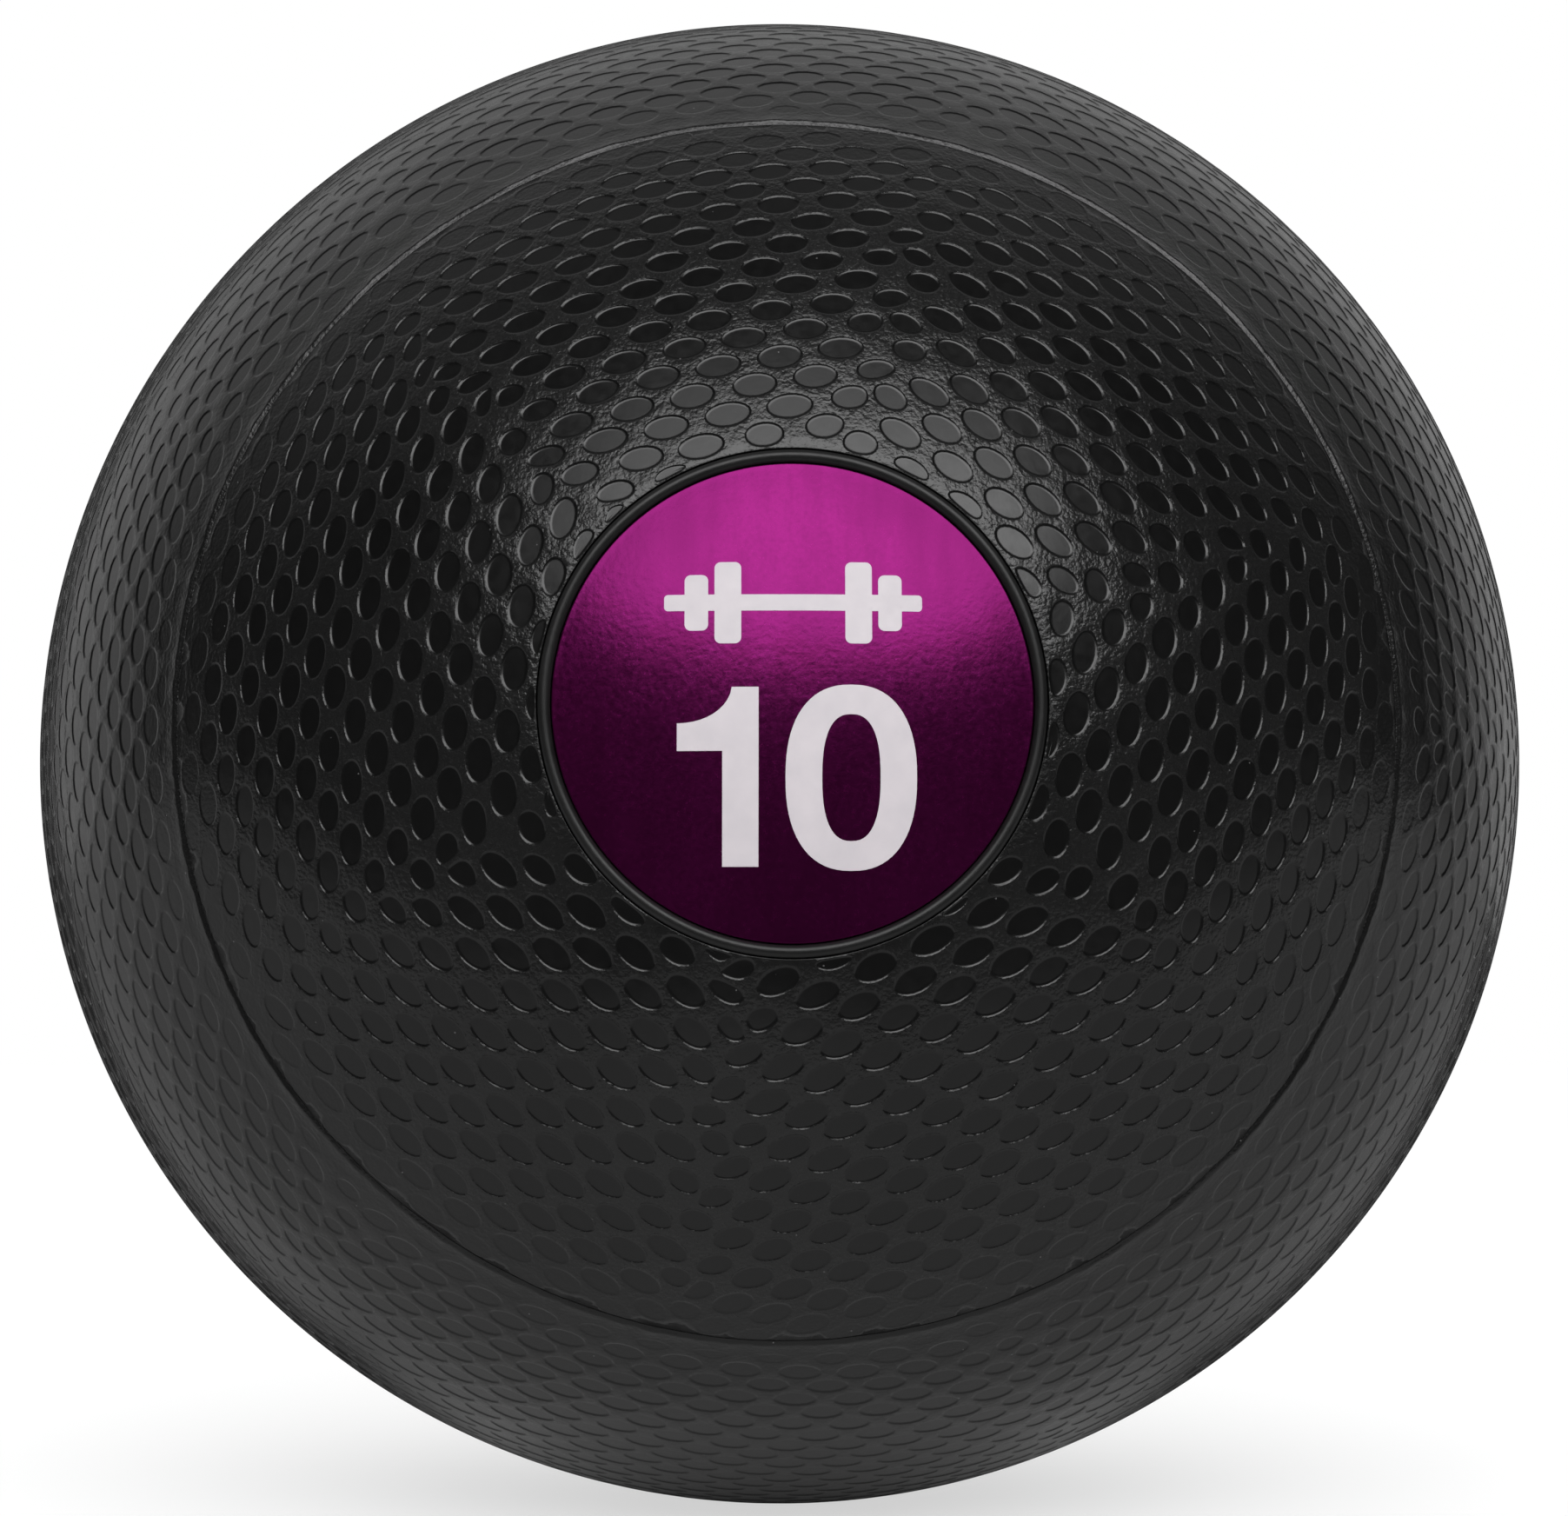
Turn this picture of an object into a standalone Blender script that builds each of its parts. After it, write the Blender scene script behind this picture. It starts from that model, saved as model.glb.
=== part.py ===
"""Medicine ball: a heavy, air-filled rubber ball built up in layers round a bladder.

Units are metres, +Z is up and the origin is the centre of the ball. The badge faces -Y, the
front, and the inflation valve faces +Y, the rear. Every piece is turned about the axis from
badge to valve. A profile is drawn in that axis's own plane as points of radius and height,
where the height runs towards the badge, and it is given as clockwise points, so that its
outer side runs downwards.

From outside to inside the layers are the textured cover in three panels, the weighted core in
two shells, the cord winding and the bladder. Touching pieces are kept one GAP apart.
"""

import math

import bpy

OBJECT_NAME = "medicine_ball"

# ---- driving dimensions -------------------------------------------------------------------

BALL_RADIUS = 0.1143
GAP = 0.0003

COVER_THICKNESS = 0.0040
CORE_THICKNESS = 0.0160
WINDING_THICKNESS = 0.0008
BLADDER_THICKNESS = 0.0014

SEAM_ANGLE = 46.5
COVER_LAP_ANGLE = 2.5
CORE_LAP_ANGLE = 3.2

BADGE_RADIUS = 0.0308
BADGE_SINK = 0.0005
BADGE_THICKNESS = 0.0012
ADHESIVE_THICKNESS = 0.0003
ADHESIVE_INSET = 0.0015
RIM_WIDTH = 0.0015
RIM_STANDS_PROUD = 0.0003

VALVE_WELL_DEPTH = 0.0008
VALVE_NECK_RADIUS = 0.0045
VALVE_STEM_RADIUS = 0.0062
VALVE_FLANGE_RADIUS = 0.0140
VALVE_FLANGE_THICKNESS = 0.0020
VALVE_BORE_RADIUS = 0.0021
PLUG_HEAD_RADIUS = 0.0028
PLUG_HEAD_THICKNESS = 0.0012
PLUG_HEAD_SINK = 0.0003
PLUG_LENGTH = 0.0160
NEEDLE_HOLE_RADIUS = 0.0006
NEEDLE_HOLE_DEPTH = 0.0110

# ---- resolution ---------------------------------------------------------------------------

SHELL_STEPS = 36
VALVE_STEPS = 20
BANDS_PER_ZONE = 4
BADGE_BANDS = 3
BEAD_SEGMENTS = 6

# ---- derived radii ------------------------------------------------------------------------

COVER_INNER = BALL_RADIUS - COVER_THICKNESS
COVER_MIDDLE = BALL_RADIUS - COVER_THICKNESS / 2
CORE_OUTER = COVER_INNER - GAP
CORE_INNER = CORE_OUTER - CORE_THICKNESS
CORE_MIDDLE = CORE_OUTER - CORE_THICKNESS / 2
WINDING_OUTER = CORE_INNER - GAP
WINDING_INNER = WINDING_OUTER - WINDING_THICKNESS
BLADDER_OUTER = WINDING_INNER - GAP
BLADDER_INNER = BLADDER_OUTER - BLADDER_THICKNESS

BADGE_OUTER = BALL_RADIUS - BADGE_SINK
BADGE_INNER = BADGE_OUTER - BADGE_THICKNESS
ADHESIVE_OUTER = BADGE_INNER - GAP
ADHESIVE_INNER = ADHESIVE_OUTER - ADHESIVE_THICKNESS
RECESS_FLOOR = ADHESIVE_INNER - GAP
RIM_INNER_RADIUS = BADGE_RADIUS + GAP
RIM_OUTER_RADIUS = RIM_INNER_RADIUS + RIM_WIDTH
RECESS_RADIUS = RIM_OUTER_RADIUS + GAP

# The valve well is as wide as brings the rear end level with the badge at the front.
VALVE_WELL_RADIUS = math.sqrt(BALL_RADIUS**2 - BADGE_OUTER**2)
VALVE_FACE = BADGE_OUTER - VALVE_WELL_DEPTH
NECK_HOLE_RADIUS = VALVE_NECK_RADIUS + GAP
STEM_HOLE_RADIUS = VALVE_STEM_RADIUS + GAP
SHOULDER_HEIGHT = CORE_OUTER - 2 * GAP

RUBBER_BLACK = (0.012, 0.012, 0.013, 1.0)
CORE_GREY = (0.045, 0.043, 0.041, 1.0)
BADGE_MAGENTA = (0.42, 0.022, 0.26, 1.0)
ADHESIVE_WHITE = (0.72, 0.70, 0.64, 1.0)
CORD_NATURAL = (0.62, 0.56, 0.42, 1.0)
BUTYL_BLACK = (0.020, 0.020, 0.021, 1.0)


# ---- profile helpers ----------------------------------------------------------------------


def shared_latitudes():
    """Polar angles, in degrees from the badge, at which every layer has an edge ring."""
    front = [SEAM_ANGLE * i / BANDS_PER_ZONE for i in range(BANDS_PER_ZONE)]
    step = (90 - SEAM_ANGLE) / BANDS_PER_ZONE
    front += [SEAM_ANGLE + step * i for i in range(BANDS_PER_ZONE)]
    rear = [180 - angle for angle in reversed(front)]
    return front + [90.0] + rear


def on_sphere(radius, polar):
    """The profile point at a polar angle in degrees from the badge axis."""
    angle = math.radians(polar)
    return (radius * math.sin(angle), radius * math.cos(angle))


def polar_at(radius, distance):
    """The polar angle at which a sphere of this radius is this far from the axis."""
    return math.degrees(math.asin(distance / radius))


def arc(radius, start, end):
    """Points along a sphere between two polar angles, through the shared latitudes."""
    low, high = sorted((start, end))
    clear = 0.5
    inside = [a for a in shared_latitudes() if low + clear < a < high - clear]
    angles = [low] + inside + [high]
    if start > end:
        angles.reverse()
    return [on_sphere(radius, angle) for angle in angles]


def even_arc(radius, start, end, pieces):
    """Points along a sphere between two polar angles, in equal steps."""
    angles = [start + (end - start) * i / pieces for i in range(pieces + 1)]
    return [on_sphere(radius, angle) for angle in angles]


def half_gap_angle(radius):
    """Half of the gap between two pieces, as an angle at this radius."""
    return math.degrees(GAP / radius) / 2


def mirrored(profile):
    """The same profile at the other end of the axis, still clockwise."""
    return [(radius, -height) for radius, height in reversed(profile)]


# ---- scene helpers ------------------------------------------------------------------------


def clear_scene():
    for old in list(bpy.data.objects):
        bpy.data.objects.remove(old, do_unlink=True)


def make_material(name, colour, roughness, metallic=0.0):
    material = bpy.data.materials.new(name)
    material.use_nodes = True
    shader = material.node_tree.nodes["Principled BSDF"]
    shader.inputs["Base Color"].default_value = colour
    shader.inputs["Roughness"].default_value = roughness
    shader.inputs["Metallic"].default_value = metallic
    return material


def turned(name, profile, material, closed=True, steps=SHELL_STEPS):
    """Spins a profile about the badge axis and adds it to the ball.

    A closed profile is a ring clear of the axis. An open one starts and ends on it.
    """
    points = [(radius, 0.0, height) for radius, height in profile]
    edges = [(i, i + 1) for i in range(len(points) - 1)]
    if closed:
        edges.append((len(points) - 1, 0))
    mesh = bpy.data.meshes.new(name)
    mesh.from_pydata(points, edges, [])

    piece = bpy.data.objects.new(name, mesh)
    parts.objects.link(piece)
    piece.parent = ball
    piece.rotation_euler = (math.radians(90), 0.0, 0.0)
    mesh.materials.append(material)

    spin = piece.modifiers.new("spin", "SCREW")
    spin.axis = "Z"
    spin.angle = math.radians(360)
    spin.steps = steps
    spin.render_steps = steps
    spin.use_merge_vertices = True
    spin.merge_threshold = 0.00001
    spin.use_smooth_shade = True
    return piece


# ---- cover --------------------------------------------------------------------------------


def cap_edge():
    """The edge of a cover cap: its face at the seam, then the lip that runs under the belt."""
    seam = SEAM_ANGLE - half_gap_angle(BALL_RADIUS)
    lip_end = SEAM_ANGLE + COVER_LAP_ANGLE - half_gap_angle(BALL_RADIUS)
    lip_top = COVER_MIDDLE - GAP / 2
    return [
        on_sphere(BALL_RADIUS, seam),
        on_sphere(lip_top, seam),
        on_sphere(lip_top, lip_end),
        on_sphere(COVER_INNER, lip_end),
    ]


def cap_arcs(first_distance):
    """A cap's outer side from a distance off the axis to its edge, and the lap there."""
    edge = cap_edge()
    start = polar_at(BALL_RADIUS, first_distance)
    seam = SEAM_ANGLE - half_gap_angle(BALL_RADIUS)
    return arc(BALL_RADIUS, start, seam)[:-1] + edge


def cap_underside(last_distance):
    """A cap's inner side, from the end of its lip back to a distance off the axis."""
    lip_end = SEAM_ANGLE + COVER_LAP_ANGLE - half_gap_angle(BALL_RADIUS)
    return arc(COVER_INNER, lip_end, polar_at(COVER_INNER, last_distance))[1:]


def front_cover_cap():
    floor_edge = polar_at(RECESS_FLOOR, RECESS_RADIUS)
    profile = even_arc(RECESS_FLOOR, 0.0, floor_edge, BADGE_BANDS)
    profile += cap_arcs(RECESS_RADIUS)
    profile += cap_underside(0.0)
    turned("front_cover_cap", profile, rubber, closed=False)


def rear_cover_cap():
    well_wall = (VALVE_WELL_RADIUS, VALVE_FACE)
    well_edge = (NECK_HOLE_RADIUS, VALVE_FACE)
    profile = [well_edge, well_wall]
    profile += cap_arcs(VALVE_WELL_RADIUS)
    profile += cap_underside(NECK_HOLE_RADIUS)
    turned("rear_cover_cap", mirrored(profile), rubber)


def cover_belt():
    seam = SEAM_ANGLE + half_gap_angle(BALL_RADIUS)
    lap = SEAM_ANGLE + COVER_LAP_ANGLE + half_gap_angle(BALL_RADIUS)
    step = COVER_MIDDLE + GAP / 2
    profile = arc(BALL_RADIUS, seam, 180 - seam)
    profile += [on_sphere(step, 180 - seam), on_sphere(step, 180 - lap)]
    profile += arc(COVER_INNER, 180 - lap, lap)
    profile += [on_sphere(step, lap), on_sphere(step, seam)]
    turned("cover_belt", profile, rubber)


# ---- badge --------------------------------------------------------------------------------


def domed_disc(name, outer, inner, radius, material):
    """A disc cut from a spherical skin, with its edge parallel to the axis."""
    profile = even_arc(outer, 0.0, polar_at(outer, radius), BADGE_BANDS)
    profile += even_arc(inner, polar_at(inner, radius), 0.0, BADGE_BANDS)
    turned(name, profile, material, closed=False)


def badge_rim():
    """A ring with a round bead on top, standing on the floor of the badge recess."""
    bead_radius = RIM_WIDTH / 2
    middle = RIM_INNER_RADIUS + bead_radius
    crest = math.sqrt((BALL_RADIUS + RIM_STANDS_PROUD) ** 2 - middle**2)
    centre = crest - bead_radius
    profile = []
    for i in range(BEAD_SEGMENTS + 1):
        angle = math.pi * (1 - i / BEAD_SEGMENTS)
        across = middle + bead_radius * math.cos(angle)
        profile.append((across, centre + bead_radius * math.sin(angle)))
    foot = RECESS_FLOOR + GAP
    profile.append((RIM_OUTER_RADIUS, math.sqrt(foot**2 - RIM_OUTER_RADIUS**2)))
    profile.append((RIM_INNER_RADIUS, math.sqrt(foot**2 - RIM_INNER_RADIUS**2)))
    turned("badge_rim", profile, rubber)


# ---- core, winding and bladder ------------------------------------------------------------


def front_core_shell():
    half = half_gap_angle(CORE_OUTER)
    lip_top = CORE_MIDDLE - GAP / 2
    lip_end = 90 + CORE_LAP_ANGLE - half
    profile = arc(CORE_OUTER, 0.0, 90 - half)
    profile += [on_sphere(lip_top, 90 - half), on_sphere(lip_top, lip_end)]
    profile += arc(CORE_INNER, lip_end, 0.0)
    turned("front_core_shell", profile, filled_rubber, closed=False)


def rear_core_shell():
    half = half_gap_angle(CORE_OUTER)
    step = CORE_MIDDLE + GAP / 2
    lap = 90 + CORE_LAP_ANGLE + half
    outer_hole = 180 - polar_at(CORE_OUTER, STEM_HOLE_RADIUS)
    inner_hole = 180 - polar_at(CORE_INNER, STEM_HOLE_RADIUS)
    profile = arc(CORE_OUTER, 90 + half, outer_hole)
    profile += arc(CORE_INNER, inner_hole, lap)
    profile += [on_sphere(step, lap), on_sphere(step, 90 + half)]
    turned("rear_core_shell", profile, filled_rubber)


def pierced_sphere(name, outer, inner, material):
    """A thin spherical layer, closed at the badge end and pierced for the valve stem."""
    profile = arc(outer, 0.0, 180 - polar_at(outer, STEM_HOLE_RADIUS))
    profile += arc(inner, 180 - polar_at(inner, STEM_HOLE_RADIUS), 0.0)
    turned(name, profile, material, closed=False)


# ---- valve --------------------------------------------------------------------------------


def valve_boss():
    """Neck through the cover, stem through the core, and a flange inside the bladder."""
    flange_sphere = BLADDER_INNER - 2 * GAP
    flange_root = math.sqrt(flange_sphere**2 - VALVE_STEM_RADIUS**2)
    flange_edge = math.sqrt(flange_sphere**2 - VALVE_FLANGE_RADIUS**2)
    flange_back = flange_edge - VALVE_FLANGE_THICKNESS
    seat_radius = PLUG_HEAD_RADIUS + GAP
    seat = VALVE_FACE - PLUG_HEAD_SINK - PLUG_HEAD_THICKNESS - GAP
    profile = [
        (seat_radius, VALVE_FACE),
        (VALVE_NECK_RADIUS, VALVE_FACE),
        (VALVE_NECK_RADIUS, SHOULDER_HEIGHT),
        (VALVE_STEM_RADIUS, SHOULDER_HEIGHT),
        (VALVE_STEM_RADIUS, flange_root),
        (VALVE_FLANGE_RADIUS, flange_edge),
        (VALVE_FLANGE_RADIUS, flange_back),
        (VALVE_BORE_RADIUS, flange_back),
        (VALVE_BORE_RADIUS, seat),
        (seat_radius, seat),
    ]
    turned("valve_boss", mirrored(profile), valve_rubber, steps=VALVE_STEPS)


def valve_plug():
    """A mushroom plug with a blind needle hole in its head."""
    face = VALVE_FACE - PLUG_HEAD_SINK
    under_head = face - PLUG_HEAD_THICKNESS
    shank_radius = VALVE_BORE_RADIUS - GAP
    profile = [
        (0.0, face - NEEDLE_HOLE_DEPTH),
        (NEEDLE_HOLE_RADIUS, face - NEEDLE_HOLE_DEPTH),
        (NEEDLE_HOLE_RADIUS, face),
        (PLUG_HEAD_RADIUS, face),
        (PLUG_HEAD_RADIUS, under_head),
        (shank_radius, under_head),
        (shank_radius, face - PLUG_LENGTH),
        (0.0, face - PLUG_LENGTH),
    ]
    turned("valve_plug", mirrored(profile), valve_rubber, closed=False, steps=VALVE_STEPS)


# ---- assembly -----------------------------------------------------------------------------

clear_scene()

parts = bpy.data.collections.new(OBJECT_NAME)
bpy.context.scene.collection.children.link(parts)
ball = bpy.data.objects.new(OBJECT_NAME, None)
parts.objects.link(ball)

rubber = make_material("cover_rubber", RUBBER_BLACK, 0.55)
filled_rubber = make_material("core_rubber", CORE_GREY, 0.8)
badge_foil = make_material("badge_foil", BADGE_MAGENTA, 0.35, metallic=0.8)
adhesive = make_material("adhesive", ADHESIVE_WHITE, 0.6)
cord = make_material("winding_cord", CORD_NATURAL, 0.85)
butyl = make_material("butyl", BUTYL_BLACK, 0.5)
valve_rubber = make_material("valve_rubber", BUTYL_BLACK, 0.6)

front_cover_cap()
cover_belt()
rear_cover_cap()
domed_disc("badge_plate", BADGE_OUTER, BADGE_INNER, BADGE_RADIUS, badge_foil)
adhesive_radius = BADGE_RADIUS - ADHESIVE_INSET
domed_disc("badge_adhesive", ADHESIVE_OUTER, ADHESIVE_INNER, adhesive_radius, adhesive)
badge_rim()
front_core_shell()
rear_core_shell()
pierced_sphere("winding_layer", WINDING_OUTER, WINDING_INNER, cord)
pierced_sphere("bladder", BLADDER_OUTER, BLADDER_INNER, butyl)
valve_boss()
valve_plug()
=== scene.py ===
"""The looks of the medicine ball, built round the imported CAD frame.

Units are metres. The badge faces -Y and the valve +Y. A place on the ball is given by its polar
angle from the badge axis and its azimuth, which runs anticlockwise from +X as seen from the
front. Angles are in radians unless a comment or docstring says degrees.

The cover's relief is real geometry: every oval recess is modelled, with its own wall and floor,
and the web between them is filled in by a triangulation on the sphere.
"""

import math
from collections import namedtuple

import bmesh
import bpy
import numpy as np
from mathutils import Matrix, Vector
from mathutils.geometry import delaunay_2d_cdt
from mathutils.kdtree import KDTree


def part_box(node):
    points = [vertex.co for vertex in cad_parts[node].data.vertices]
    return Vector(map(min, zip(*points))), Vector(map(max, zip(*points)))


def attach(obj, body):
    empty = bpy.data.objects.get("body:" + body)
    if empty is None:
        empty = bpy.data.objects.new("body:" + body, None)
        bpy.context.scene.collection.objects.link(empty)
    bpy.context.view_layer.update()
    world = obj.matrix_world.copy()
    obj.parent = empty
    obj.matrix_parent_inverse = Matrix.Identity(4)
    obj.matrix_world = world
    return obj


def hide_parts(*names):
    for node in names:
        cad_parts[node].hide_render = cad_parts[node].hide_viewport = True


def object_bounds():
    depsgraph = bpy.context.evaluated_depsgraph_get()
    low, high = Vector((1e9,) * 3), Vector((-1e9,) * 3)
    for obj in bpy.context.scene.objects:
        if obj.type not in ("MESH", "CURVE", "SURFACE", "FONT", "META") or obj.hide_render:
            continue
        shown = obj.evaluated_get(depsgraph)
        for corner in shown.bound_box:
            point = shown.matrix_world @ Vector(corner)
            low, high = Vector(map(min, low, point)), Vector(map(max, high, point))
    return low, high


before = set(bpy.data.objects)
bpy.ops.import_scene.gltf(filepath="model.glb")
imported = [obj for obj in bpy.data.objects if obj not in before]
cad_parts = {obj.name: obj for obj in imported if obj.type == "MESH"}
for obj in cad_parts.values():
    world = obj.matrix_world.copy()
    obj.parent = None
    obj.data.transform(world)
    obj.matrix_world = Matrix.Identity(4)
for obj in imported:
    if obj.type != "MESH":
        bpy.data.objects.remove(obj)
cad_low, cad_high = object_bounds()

MM = 0.001
BODY = "root"

# ---- sizes from the frame ----

BALL_RADIUS = (cad_high.x - cad_low.x) / 2
GROUND = cad_low.z
GAP = 0.3 * MM

badge_low, badge_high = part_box("badge_plate")
BADGE_RADIUS = (badge_high.x - badge_low.x) / 2
BADGE_OUTER = -badge_low.y
BADGE_INNER = BADGE_OUTER - 1.2 * MM
BADGE_EDGE_ROUND = 0.25 * MM
PRINT_THICKNESS = 0.05 * MM
BADGE_FACE = BADGE_OUTER - PRINT_THICKNESS

# The gaps beside the bead are narrower than the CAD's.
BEAD_GAP = 0.4 * GAP
rim_low, rim_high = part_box("badge_rim")
RIM_CREST = -rim_low.y
RIM_INNER_RADIUS = BADGE_RADIUS + BEAD_GAP
RIM_OUTER_RADIUS = (rim_high.x - rim_low.x) / 2
RECESS_RADIUS = RIM_OUTER_RADIUS + BEAD_GAP
ADHESIVE_THICKNESS = 0.3 * MM
RECESS_FLOOR = BADGE_INNER - ADHESIVE_THICKNESS - 2 * GAP

COVER_THICKNESS = 4.0 * MM
COVER_INNER = BALL_RADIUS - COVER_THICKNESS
COVER_MIDDLE = BALL_RADIUS - COVER_THICKNESS / 2
SEAM = math.acos(-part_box("cover_belt")[0].y / BALL_RADIUS)
HALF_GAP = GAP / BALL_RADIUS / 2
COVER_LAP = math.radians(2.5)

VALVE_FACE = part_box("valve_boss")[1].y
WELL_RADIUS = math.sqrt(BALL_RADIUS**2 - BADGE_OUTER**2)
NECK_RADIUS = 4.5 * MM

# ---- the cover's relief ----

# A zone has gores, a pitch between rows in degrees, numbers of points round each recess and
# round its own edges, and a polish, from 0 to 1, for the web between its recesses. A gore is
# the azimuth where it starts and the azimuth that its rows are square to, in degrees.
Zone = namedtuple("Zone", "gores row_pitch sides steps web_polish")
CAP = Zone(
    gores=((20, 56), (74, 100), (135, 174), (205, 230), (260, 296), (328, 351)),
    row_pitch=1.88,
    sides=20,
    steps=360,
    web_polish=0.0,
)
BELT = Zone(
    gores=((0, 52), (72, 100), (128, 140), (152, 190), (227, 264), (291, 324)),
    row_pitch=1.82,
    sides=14,
    steps=720,
    web_polish=0.7,
)
SEAM_POLISH = 0.6
EDGE_POLISH = 0.55

# In degrees: the pitch along a row, and how far from the badge axis the rows go.
ALONG_PITCH = 4.04
ROWS_END = 150
COLUMNS_EACH_WAY = 17
# How far the lattice moves on from gore to gore, in pitches, and how far it runs over an edge.
ROW_PHASE = 0.37
COLUMN_PHASE = 0.21
GORE_OVERLAP = 1.3 * MM

OVAL_LENGTH = 5.9 * MM
OVAL_WIDTH = 3.6 * MM
OVAL_DEPTH = 0.13 * MM
SEED = 10
PLACE_JITTER = 0.12 * MM
TURN_JITTER = math.radians(3.0)
LENGTH_SPREAD = (0.96, 1.03)
WIDTH_SPREAD = (0.95, 1.04)

# Two recesses with centres closer than this become one, a little shorter and wider.
MERGE_DISTANCE = 2.9 * MM
MERGED_LENGTH = 0.9
MERGED_WIDTH = 1.08
# The least rubber between recesses: of different gores, of one gore, and at a zone's edge.
LEAST_WEB = 0.6 * MM
LEAST_ROW_WEB = 0.5 * MM
EDGE_MARGIN = 0.2 * MM
# A recess cut back to less than this share of a whole one is left out.
LEAST_OVAL_SHARE = 0.16
CUT_SIDES = 40
CORNER_PASSES = 4

# The wall of a recess: how far outside its outline, what share of the depth, how polished.
WALL_STEPS = (
    (0.13 * MM, 0.00, 0.0),
    (0.05 * MM, 0.10, 0.6),
    (-0.05 * MM, 0.46, 1.0),
    (-0.15 * MM, 0.83, 1.0),
    (-0.24 * MM, 0.985, 1.0),
    (-0.40 * MM, 1.00, 1.0),
)
# A recess that reaches less far than this from its middle is less deep in proportion.
SMALL_OVAL = 1.1 * MM
LEAST_WALL_SHARE = 0.2
# Recesses are pressed less deep beside a mould line: from this share there to whole.
SHALLOW_FROM = 2.0 * MM
SHALLOW_TO = 11.0 * MM
SHALLOW_SHARE = 0.15

LIP_ROUND = 0.12 * MM

# The flash on the belt's edge, in millimetres: how far from the edge, and how high it stands.
FLASH_SECTION = (
    (2.60, 0.000),
    (1.95, 0.035),
    (1.40, 0.085),
    (1.00, 0.130),
    (0.78, 0.152),
    (0.64, 0.142),
    (0.53, 0.085),
    (0.40, 0.000),
    (0.27, -0.085),
    (0.14, -0.170),
    (0.03, -0.230),
)

# The mould line strays from its circle by this angle, most at the peak. The cover within its
# reach goes with it.
SEAM_WANDER = math.radians(0.33)
SEAM_WANDER_PEAK = math.radians(260)
SEAM_WANDER_REACH = math.radians(9)
# Waves round the mould line: the size of each, how many go round, and the phase.
SEAM_RIPPLES = ((0.11, 7, 1.3), (0.07, 13, 4.0), (0.05, 41, 0.6), (0.04, 67, 2.1))
FLASH_SWELLS = ((0.20, 17, 0.4), (0.16, 43, 2.0))
FLASH_RAGS = ((0.10, 98, 0.571), (0.10, 104, -0.571), (0.18, 139, 0.0))
RAG_LEAN = 1.5


# ---- places on the ball ----


def direction(polar, azimuth):
    """Unit vectors for polar angles and azimuths, as an array with x, y and z last."""
    across = np.sin(polar)
    return np.stack(
        [across * np.cos(azimuth), -np.cos(polar) * np.ones_like(azimuth), across * np.sin(azimuth)],
        axis=-1,
    )


def polar_of(points):
    return np.arccos(np.clip(-points[:, 1] / np.linalg.norm(points, axis=1), -1, 1))


def azimuth_of(points):
    return np.arctan2(points[:, 2], points[:, 0])


def waves(azimuth, parts):
    """The sum of sine waves that go round the ball."""
    return sum(size * np.sin(number * azimuth + phase) for size, number, phase in parts)


def seam_shift(azimuth):
    """How far the mould line strays from its true circle, as a polar angle."""
    return SEAM_WANDER * (np.cos(azimuth - SEAM_WANDER_PEAK) + waves(azimuth, SEAM_RIPPLES))


def wandered(points):
    """Moves points near either mould line with it, and makes the flash there uneven."""
    radius = np.linalg.norm(points, axis=1)
    polar, azimuth = polar_of(points), azimuth_of(points)
    proud = np.maximum(radius - BALL_RADIUS, 0)
    ragged = waves(azimuth, FLASH_RAGS)
    uneven = 1 + waves(azimuth, FLASH_SWELLS) + ragged
    radius = np.where(proud > 0, BALL_RADIUS + proud * uneven, radius)
    lean = proud * ragged * RAG_LEAN / BALL_RADIUS
    polar = polar + np.where(polar < math.pi / 2, lean, -lean)
    shift = np.zeros_like(polar)
    for line, way, along in ((SEAM, 1, azimuth), (math.pi - SEAM, -1, math.pi - azimuth)):
        near = np.clip(1 - np.abs(polar - line) / SEAM_WANDER_REACH, 0, 1)
        shift += way * near**2 * (3 - 2 * near) * seam_shift(along)
    return direction(polar + shift, azimuth) * radius[:, None]


# ---- meshes ----


def add_object(name, data):
    thing = bpy.data.objects.new(name, data)
    bpy.context.scene.collection.objects.link(thing)
    return thing


def add_mesh(name, points, faces, material):
    mesh = bpy.data.meshes.new(name)
    mesh.from_pydata(points, [], faces)
    mesh.materials.append(material)
    return add_object(name, mesh)


def make_piece(name, points, triangles, material, polish=None, rear=False):
    """A smooth-shaded piece from arrays, with its faces turned outwards.

    rear turns it half round the upright axis, from the front of the ball to the back.
    """
    if rear:
        points = points * [-1, -1, 1]
    piece = add_mesh(name, points.tolist(), triangles.tolist(), material)
    mesh = piece.data
    if polish is not None:
        attribute = mesh.attributes.new("polish", "FLOAT", "POINT")
        attribute.data.foreach_set("value", polish)

    shaped = bmesh.new()
    shaped.from_mesh(mesh)
    bmesh.ops.recalc_face_normals(shaped, faces=shaped.faces)
    shaped.to_mesh(mesh)
    shaped.free()
    mesh.shade_smooth()

    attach(piece, BODY)
    return piece


def triangulated(flat, rings):
    """Triangles between flat points, with the sides of closed rings of them among their edges."""
    edges = []
    for ring in rings:
        edges.extend(zip(ring.tolist(), np.roll(ring, -1).tolist()))
    result = delaunay_2d_cdt([Vector(point) for point in flat], edges, [], 0, 1e-9, False)
    if len(result[0]) != len(flat):
        raise ValueError("two outlines overlap")
    return np.array(result[2])


def band(first, second):
    """Triangles between two rings with the same number of points."""
    after_first, after_second = np.roll(first, -1), np.roll(second, -1)
    one = np.stack([first, after_first, after_second], axis=1)
    two = np.stack([first, after_second, second], axis=1)
    return np.concatenate([one, two])


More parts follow.
